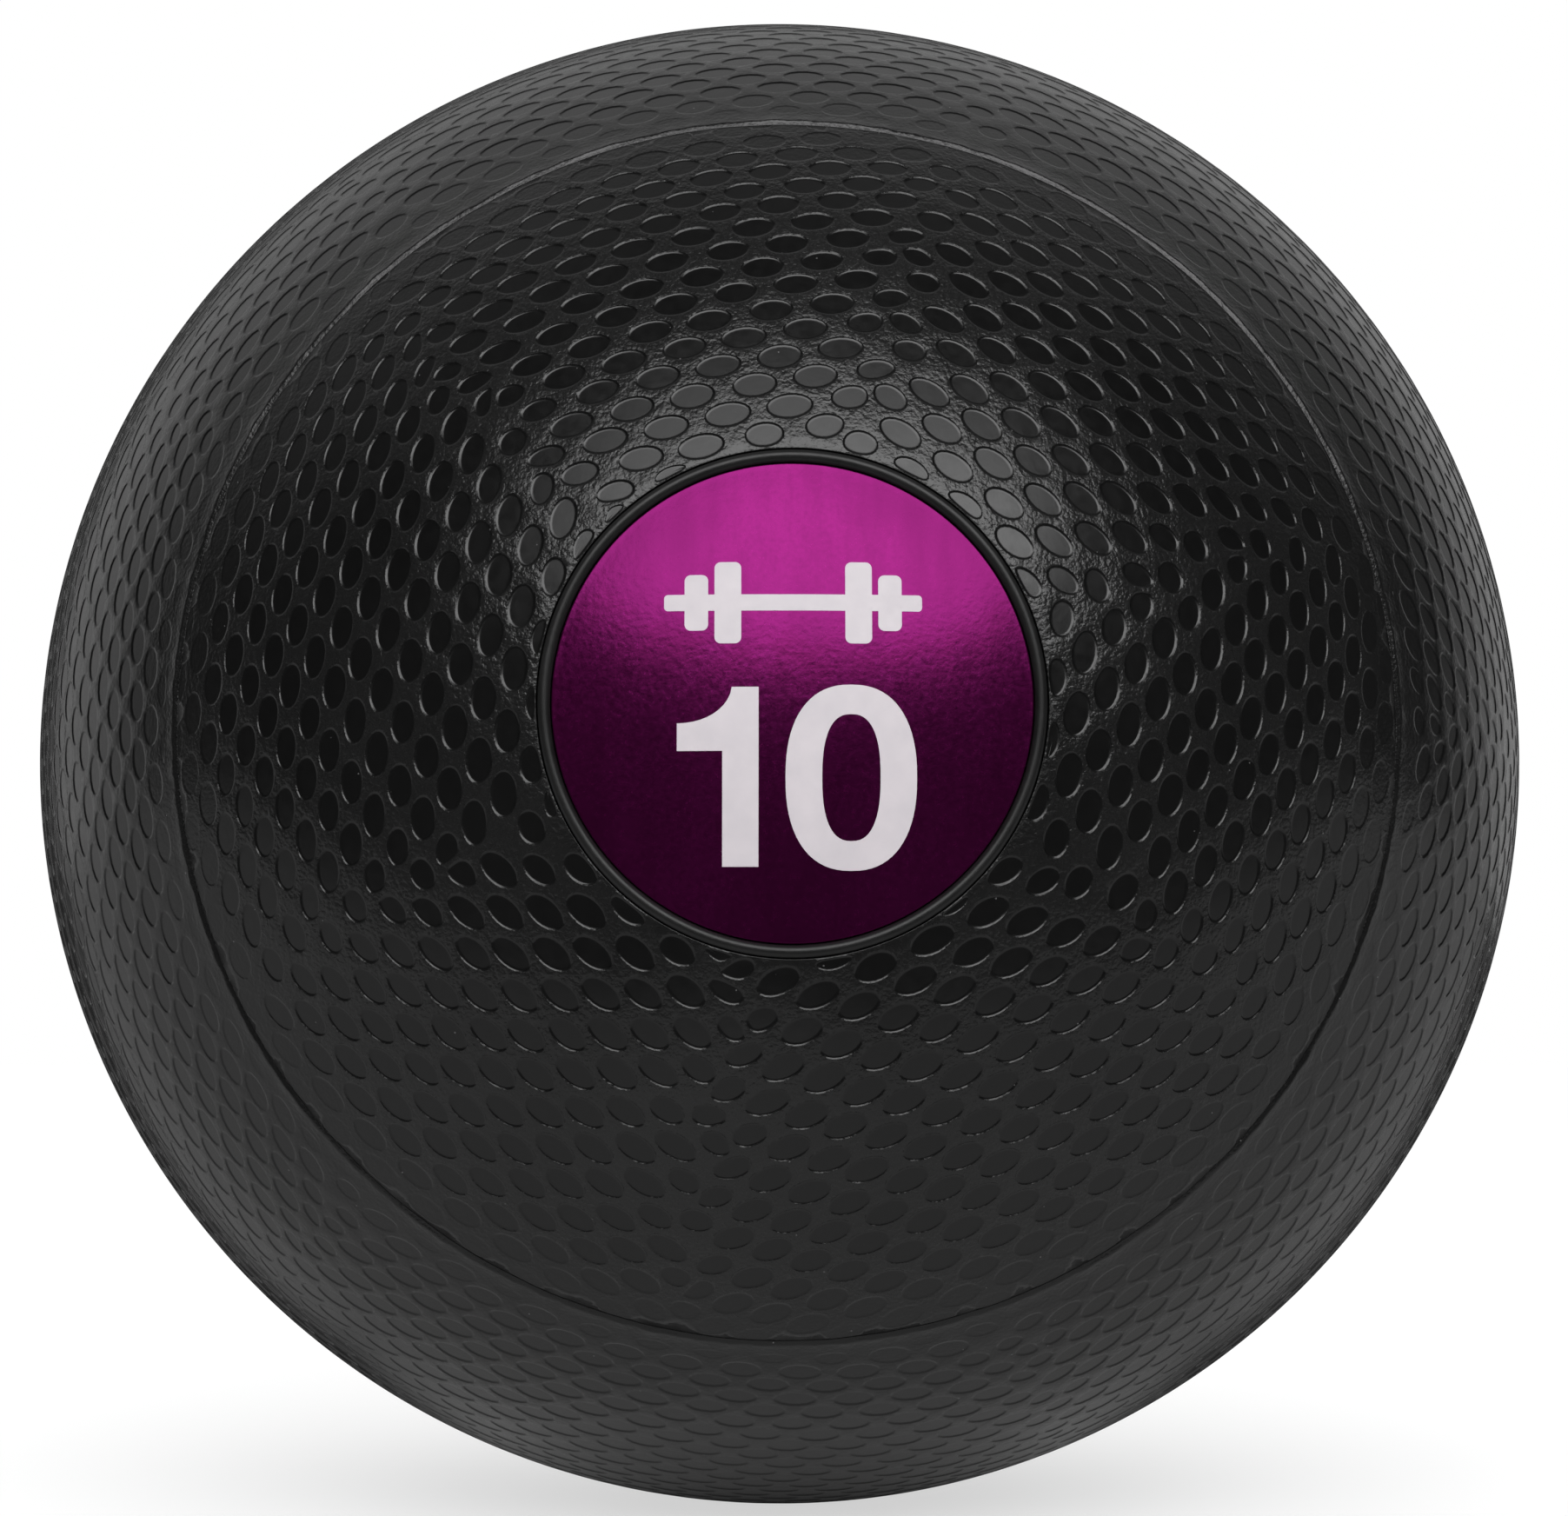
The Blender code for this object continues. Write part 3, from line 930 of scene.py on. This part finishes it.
class Nodes:
    """A Principled material that is put together a node at a time."""

    def __init__(self, name):
        self.material = bpy.data.materials.new(name)
        self.material.use_nodes = True
        self.tree = self.material.node_tree
        self.shader = self.tree.nodes["Principled BSDF"]
        self.place = self.node("TexCoord").outputs["Object"]

    def node(self, kind, **inputs):
        node = self.tree.nodes.new("ShaderNode" + kind)
        self.put(node, **inputs)
        return node

    def put(self, node, **inputs):
        """Links or sets inputs by name. An underscore in a name stands for a space."""
        for name, value in inputs.items():
            self.put_one(node.inputs[name.replace("_", " ")], value)

    def put_one(self, socket, value):
        if isinstance(value, bpy.types.NodeSocket):
            self.tree.links.new(value, socket)
        elif socket.type == "RGBA":
            socket.default_value = (*value, 1.0)
        else:
            socket.default_value = value

    def finish(self, **inputs):
        """Links or sets the shader's own sockets, and gives the material."""
        self.put(self.shader, **inputs)
        return self.material

    def stretched(self, stretch):
        """The place, scaled along each axis."""
        return self.node("Mapping", Vector=self.place, Scale=stretch).outputs["Vector"]

    def along(self, axis):
        """The place's coordinate along one axis."""
        return self.node("SeparateXYZ", Vector=self.place).outputs[axis]

    def noise(self, scale, detail=2.0, rough=0.5, stretch=None):
        place = self.stretched(stretch) if stretch else self.place
        node = self.node("TexNoise", Vector=place, Scale=scale, Detail=detail, Roughness=rough)
        return node.outputs["Fac"]

    def speckle(self, scale, size):
        """Sparse dots: one where a cell's nearest point is closer than size."""
        distance = self.node("TexVoronoi", Vector=self.place, Scale=scale).outputs["Distance"]
        return self.remap(distance, size, size * 0.6)

    def remap(self, value, low, high, to_low=0.0, to_high=1.0):
        node = self.node("MapRange", Value=value, From_Min=low, From_Max=high)
        self.put(node, To_Min=to_low, To_Max=to_high)
        return node.outputs["Result"]

    def spread(self, noise, to_low=0.0, to_high=1.0):
        """Stretches what a noise mostly gives, 0.3 to 0.7, to a wanted range."""
        return self.remap(noise, 0.3, 0.7, to_low, to_high)

    def maths(self, operation, first, second=0.0):
        node = self.node("Math")
        node.operation = operation
        self.put_one(node.inputs[0], first)
        self.put_one(node.inputs[1], second)
        return node.outputs["Value"]

    def mix(self, factor, first, second):
        """Blends two colours, each a triple or a colour socket."""
        node = self.node("Mix")
        node.data_type = "RGBA"
        self.put(node, Factor=factor)
        self.put_one(node.inputs[MIX_FIRST], first)
        self.put_one(node.inputs[MIX_SECOND], second)
        return node.outputs[MIX_RESULT]

    def bump(self, height, distance):
        return self.node("Bump", Height=height, Distance=distance).outputs["Normal"]


def grey(value):
    return (value, value, value)


def cover_rubber():
    """Grained rubber on the web, satin rubber on the floors of the recesses, and sparse dust."""
    n = Nodes("cover_rubber")
    attribute = n.node("Attribute")
    attribute.attribute_name = "polish"
    polish = attribute.outputs["Fac"]
    patches = n.remap(n.noise(28.0, detail=3.0), 0.35, 0.65)
    web = n.mix(patches, grey(0.0045), grey(0.0065))
    floor = n.mix(patches, grey(0.0023), grey(0.0032))
    dust = n.speckle(260.0, size=0.035)
    grain = n.noise(1700.0)
    web_share = n.maths("SUBTRACT", 1.0, polish)
    web_roughness = n.maths("MULTIPLY", n.spread(grain, 0.23, 0.30), web_share)
    floor_roughness = n.maths("MULTIPLY", n.spread(n.noise(700.0), 0.20, 0.26), polish)
    height = n.maths("MULTIPLY", grain, n.remap(polish, 0.0, 1.0, 1.0, 0.03))
    return n.finish(
        Base_Color=n.mix(dust, n.mix(polish, web, floor), grey(0.06)),
        Roughness=n.maths("ADD", web_roughness, floor_roughness),
        Normal=n.bump(height, 0.15 * MM),
        IOR=1.5,
    )


def bead_rubber_material():
    """Smooth satin rubber with faint patches of wear."""
    n = Nodes("bead_rubber")
    return n.finish(
        Base_Color=n.mix(n.spread(n.noise(160.0, detail=3.0)), grey(0.005), grey(0.008)),
        Roughness=n.spread(n.noise(900.0), 0.32, 0.40),
        Normal=n.bump(n.noise(1500.0), 0.01 * MM),
        IOR=1.4,
    )


def badge_foil_material():
    """Magenta metal foil under a satin lacquer, with faint upright streaks and a fine grain."""
    n = Nodes("badge_foil")
    dark, light = (0.088, 0.0048, 0.054), (0.122, 0.0066, 0.075)
    streaks = n.noise(120.0, detail=3.0, rough=0.6, stretch=(2.2, 1.0, 0.5))
    grain = n.noise(1500.0, rough=0.6)
    patches = n.noise(60.0, detail=3.0)
    tone = n.maths("MULTIPLY", n.maths("MULTIPLY", streaks, patches), grain)
    return n.finish(
        Base_Color=n.mix(n.remap(tone, 0.04, 0.22), dark, light),
        Roughness=n.spread(grain, 0.20, 0.28),
        Normal=n.bump(n.noise(1200.0, detail=3.0), 0.025 * MM),
        Metallic=0.9,
        Specular_IOR_Level=0.1,
    )


def ink_material():
    """Pale pink ink, a little uneven."""
    n = Nodes("print_ink")
    tone = n.spread(n.noise(300.0, detail=3.0))
    return n.finish(
        Base_Color=n.mix(tone, (0.36, 0.335, 0.355), (0.39, 0.36, 0.38)),
        Roughness=n.spread(n.noise(900.0), 0.45, 0.6),
    )


def plain_rubber(name, low, high, scale, roughness, bump):
    """A mottled material between two colours. bump is its grain's height."""
    n = Nodes(name)
    return n.finish(
        Base_Color=n.mix(n.spread(n.noise(scale, detail=4.0, rough=0.6)), low, high),
        Roughness=n.spread(n.noise(scale * 6), roughness - 0.06, roughness + 0.06),
        Normal=n.bump(n.noise(scale * 10, detail=3.0), bump),
    )


def cord_material():
    """Wound cord: fine threads side by side, in two crossing layers."""
    n = Nodes("winding_cord")
    layers = []
    for stretch in ((1.0, 0.15, 0.35), (0.2, 0.9, 0.6)):
        wave = n.node("TexWave", Vector=n.stretched(stretch), Scale=320.0, Distortion=1.2)
        layers.append(wave.outputs["Fac"])
    threads = n.maths("MAXIMUM", *layers)
    return n.finish(
        Base_Color=n.mix(threads, (0.30, 0.25, 0.17), (0.62, 0.56, 0.42)),
        Roughness=n.remap(threads, 0.0, 1.0, 0.9, 0.75),
        Normal=n.bump(threads, 0.2 * MM),
    )


def kept_nodes():
    """The valve's boss and the hidden layers keep their CAD shapes and get their finishes."""
    core = plain_rubber(
        "core_rubber", (0.035, 0.033, 0.031), (0.075, 0.071, 0.066), 180.0, 0.8, 0.2 * MM
    )
    adhesive = plain_rubber(
        "adhesive", (0.60, 0.57, 0.48), (0.76, 0.74, 0.68), 220.0, 0.5, 0.06 * MM
    )
    finishes = {
        "front_core_shell": core,
        "rear_core_shell": core,
        "winding_layer": cord_material(),
        "bladder": plain_rubber("butyl", grey(0.012), grey(0.022), 90.0, 0.45, 0.05 * MM),
        "badge_adhesive": adhesive,
        "valve_boss": valve_rubber,
    }
    for node, finish in finishes.items():
        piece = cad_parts[node]
        piece.data.materials.clear()
        piece.data.materials.append(finish)


# ---- stage ----

CAMERA_DISTANCE = 5 * BALL_RADIUS
CAMERA_LEFT = math.radians(0.88)
CAMERA_BELOW = math.radians(4.11)
LENS = 83.2
FRAME_SHIFT = (0.0028, 0.0037)

# Two lamps in one softbox: the whole cloth, and the brighter middle of it. Each is its
# distance, its angles in degrees above the badge axis and to the right of it, its size and its
# power in watts.
SOFTBOX = (
    (1.20, 32.0, 2.5, (1.58, 0.92), 6.0),
    (1.19, 26.6, 5.5, (1.45, 0.66), 6.4),
)

STAGE_REACH = 6.0
PAPER_TONE = 0.40
PAPER_GLOW = 0.61
# A near-black sheet before the ball that only the gloss shows: a painted dark reflection.
DARK_REFLECTION_TONE = 0.004
DARK_REFLECTION_GLOW = 0.012
# The table as a painted reflection, a glowing sheet that only the gloss shows, lies just above
# the paper, and starts at its front edge.
TABLE_LIFT = 0.2 * MM
TABLE_FRONT = -0.195
TABLE_TONE = 0.37
# The ball's shadow on it fades between two distances from the foot.
SHADOW_REACH = (0.015, 0.05)
SHADOW_SHARE = 0.1
# Behind the ball a dark wedge of painted shade lies on it, wider with distance, with soft edges.
WEDGE_SLOPE = 1.28
WEDGE_INNER = 0.07
WEDGE_OUTER = 0.12
WEDGE_FRONT = -0.015
WEDGE_FULL = 0.035
WEDGE_SHARE = 0.02

# The surround is a glowing sphere that only the gloss shows: painted reflections of the studio.
SURROUND_RADIUS = 2.6
SURROUND_RINGS, SURROUND_SIDES = 24, 48
SURROUND_TURN = math.radians(6)
# The overhead tones come in between these shares of the surround's height.
OVERHEAD = (0.3, 0.9)
# What the gloss mirrors, as a painted reflection on the surround: the angle from the badge axis,
# in degrees, and how bright the painted reflection is there to the side and overhead.
PAINTED_REFLECTION_TONES = (
    (76, 0.012, 0.012),
    (82, 0.012, 0.07),
    (88, 0.012, 0.19),
    (94, 0.012, 0.23),
    (102, 0.02, 0.34),
    (108, 0.04, 0.46),
    (114, 0.14, 0.46),
    (120, 0.32, 0.46),
    (128, 0.47, 0.47),
    (138, 0.50, 0.42),
    (144, 0.57, 0.37),
    (148, 0.44, 0.27),
    (150.5, 0.012, 0.012),
)


def staged(name, points, faces, material):
    thing = add_mesh(name, points, faces, material)
    return thing


def only_reflected(thing):
    """Makes a stage piece a painted reflection: it shows in the ball's gloss and nowhere else."""
    for ray in ("camera", "diffuse", "transmission", "shadow"):
        setattr(thing, "visible_" + ray, False)


def stage_sheet(name, front, back, height, material):
    """A level rectangle as wide as the stage, from one y to another."""
    far = STAGE_REACH
    corners = ((-far, front), (far, front), (far, back), (-far, back))
    return staged(name, [(x, y, height) for x, y in corners], [(0, 1, 2, 3)], material)


def stage_material(name, tone, glow):
    n = Nodes(name)
    return n.finish(
        Base_Color=n.mix(n.noise(3.0), grey(tone * 0.985), grey(tone)),
        Roughness=0.9,
        Specular_IOR_Level=0.0,
        Emission_Color=grey(1.0),
        Emission_Strength=glow,
    )


def glow_material(n, strength):
    """Finishes a material that is black but for a white glow."""
    return n.finish(
        Base_Color=grey(0.0),
        Specular_IOR_Level=0.0,
        Emission_Color=grey(1.0),
        Emission_Strength=strength,
    )


def tone_ramp(n, source, tones):
    """A grey that goes by the angle from the badge axis, from pairs of angle and tone."""
    ramp = n.node("ValToRGB", Fac=source)
    stops = ramp.color_ramp.elements
    while len(stops) < len(tones):
        stops.new(0.5)
    for stop, (angle, tone) in zip(stops, tones):
        stop.position = (1 - math.cos(math.radians(angle))) / 2
        stop.color = (*grey(tone), 1.0)
    return ramp.outputs["Color"]


def painted_reflection_material():
    """A painted reflection: a glow that goes by how far round the ball a point is, and by how far
    overhead.
    """
    n = Nodes("surround")
    back = n.remap(n.along("Y"), -SURROUND_RADIUS, SURROUND_RADIUS)
    low, high = (share * SURROUND_RADIUS for share in OVERHEAD)
    overhead = n.remap(n.along("Z"), low, high)
    beside = tone_ramp(n, back, [(angle, tone) for angle, tone, _ in PAINTED_REFLECTION_TONES])
    above = tone_ramp(n, back, [(angle, tone) for angle, _, tone in PAINTED_REFLECTION_TONES])
    return glow_material(n, n.mix(overhead, beside, above))


def painted_table_reflection_material():
    """The pale table as a painted reflection: painted shadow where the ball stands, painted shade
    behind it.
    """
    n = Nodes("painted_table_reflection")
    away = n.node("VectorMath")
    away.operation = "LENGTH"
    n.put_one(away.inputs[0], n.place)
    start, end = (math.hypot(reach, GROUND) for reach in SHADOW_REACH)
    # Painted shadow of the ball round its foot.
    tone = n.remap(away.outputs["Value"], start, end, SHADOW_SHARE * TABLE_TONE, TABLE_TONE)
    # Painted shade: a dark wedge behind the ball.
    sideways = n.maths("MULTIPLY", n.maths("ABSOLUTE", n.along("X")), WEDGE_SLOPE)
    beside = n.maths("SUBTRACT", sideways, n.along("Y"))
    lit_beside = n.remap(beside, WEDGE_INNER, WEDGE_OUTER, WEDGE_SHARE, 1.0)
    lit_before = n.remap(n.along("Y"), WEDGE_FRONT, WEDGE_FULL, 1.0, WEDGE_SHARE)
    return glow_material(n, n.maths("MULTIPLY", tone, n.maths("MAXIMUM", lit_beside, lit_before)))


def build_painted_reflection_surround():
    """A glowing sphere round the whole studio that only the ball's gloss shows: painted reflections.
    """
    azimuth = np.arange(SURROUND_SIDES) * 2 * math.pi / SURROUND_SIDES
    points, faces = [], []
    for i in range(SURROUND_RINGS + 1):
        polar = math.pi * max(i / SURROUND_RINGS, 0.001)
        points += (direction(np.full(SURROUND_SIDES, polar), azimuth) * SURROUND_RADIUS).tolist()
    for start in range(0, SURROUND_RINGS * SURROUND_SIDES, SURROUND_SIDES):
        for k in range(SURROUND_SIDES):
            one, two = start + k, start + (k + 1) % SURROUND_SIDES
            faces.append((one, two, two + SURROUND_SIDES, one + SURROUND_SIDES))
    surround = staged("surround", points, faces, painted_reflection_material())
    surround.rotation_euler.z = SURROUND_TURN
    only_reflected(surround)


def build_stage():
    paper = stage_material("paper", PAPER_TONE, PAPER_GLOW)
    stage_sheet("floor", -STAGE_REACH, STAGE_REACH, GROUND, paper)
    # Painted reflections: a near-black sheet in front, and the table with painted shadow and shade.
    black = stage_material("painted_dark_reflection", DARK_REFLECTION_TONE, DARK_REFLECTION_GLOW)
    height = GROUND + TABLE_LIFT
    only_reflected(stage_sheet("painted_dark_reflection_front", -STAGE_REACH, TABLE_FRONT, height, black))
    table = painted_table_reflection_material()
    only_reflected(stage_sheet("table_reflection", TABLE_FRONT, STAGE_REACH, height, table))
    build_painted_reflection_surround()


def build_light():
    world = bpy.data.worlds.new("studio")
    bpy.context.scene.world = world
    world.use_nodes = True
    background = world.node_tree.nodes["Background"]
    background.inputs["Color"].default_value = (*grey(1.0), 1.0)
    background.inputs["Strength"].default_value = 1.0

    for number, (distance, above, right, size, power) in enumerate(SOFTBOX):
        lamp = bpy.data.lights.new(f"softbox_{number}", "AREA")
        lamp.shape = "ELLIPSE"
        lamp.size, lamp.size_y = size
        lamp.energy = power
        softbox = add_object(lamp.name, lamp)
        above, right = math.radians(above), math.radians(right)
        softbox.location = (
            distance * math.cos(above) * math.sin(right),
            -distance * math.cos(above) * math.cos(right),
            distance * math.sin(above),
        )
        softbox.rotation_euler = (-softbox.location).to_track_quat("-Z", "Y").to_euler()
        softbox.visible_camera = False


def build_camera():
    lens = bpy.data.cameras.new("camera")
    lens.lens = LENS
    lens.shift_x, lens.shift_y = FRAME_SHIFT
    lens.clip_start = 0.01
    camera = add_object("camera", lens)
    level = CAMERA_DISTANCE * math.cos(CAMERA_BELOW)
    camera.location = (
        -level * math.sin(CAMERA_LEFT),
        -level * math.cos(CAMERA_LEFT),
        -CAMERA_DISTANCE * math.sin(CAMERA_BELOW),
    )
    camera.rotation_euler = (-camera.location).to_track_quat("-Z", "Y").to_euler()
    bpy.context.scene.camera = camera
    bpy.context.scene.view_settings.view_transform = "Standard"


# ---- build ----

rubber = cover_rubber()
bead_rubber = bead_rubber_material()
badge_foil = badge_foil_material()
ink = ink_material()
valve_rubber = plain_rubber("valve_rubber", grey(0.016), grey(0.028), 300.0, 0.5, 0.03 * MM)

build_camera()
front_cap()
belt()
rear_cap()
badge_rim()
badge_plate()
badge_print()
valve_plug()
kept_nodes()
build_stage()
build_light()
